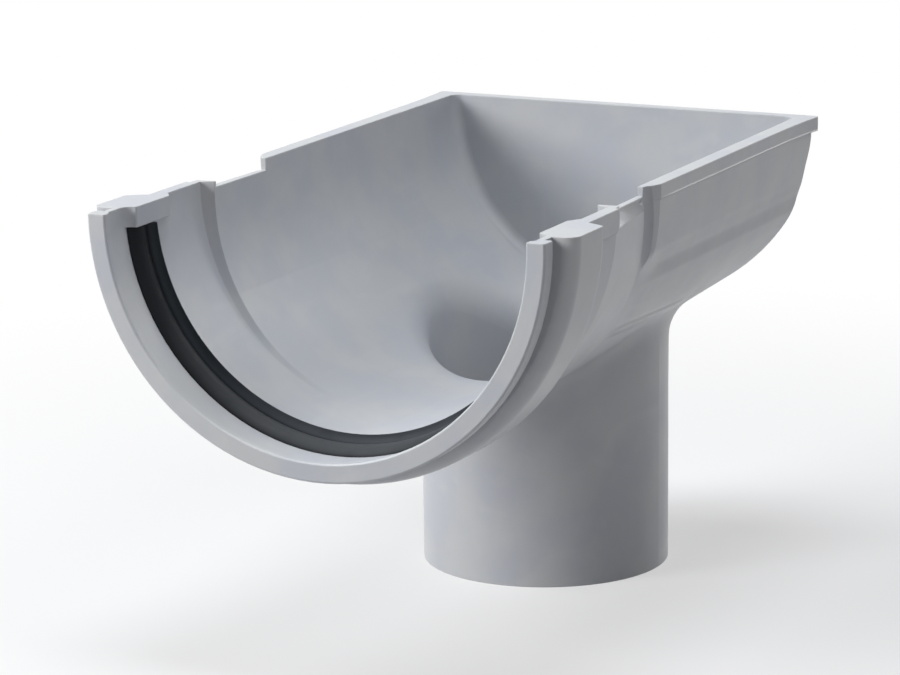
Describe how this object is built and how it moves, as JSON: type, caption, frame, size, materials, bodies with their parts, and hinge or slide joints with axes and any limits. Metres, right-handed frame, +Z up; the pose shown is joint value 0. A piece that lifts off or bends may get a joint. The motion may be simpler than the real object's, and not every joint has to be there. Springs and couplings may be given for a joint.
{
  "type": "gutter stop end outlet",
  "caption": "Half round gutter outlet with a closed end: an open socket with a rubber seal takes the gutter, and a hopper drains down through a round spigot.",
  "frame": {"origin": "middle of the spigot's open lower end", "axes": "+Z up along the spigot, -Y out of the socket along the gutter, +X towards the edge that stands higher, the wall side"},
  "size_m": [0.1462, 0.2131, 0.1304],
  "materials": {
    "moulding": "satin moulded",
    "seal": "matt"
  },
  "bodies": {
    "root": {"outlet_body": "moulding", "gutter_seal": "seal"}
  },
  "joints": []
}
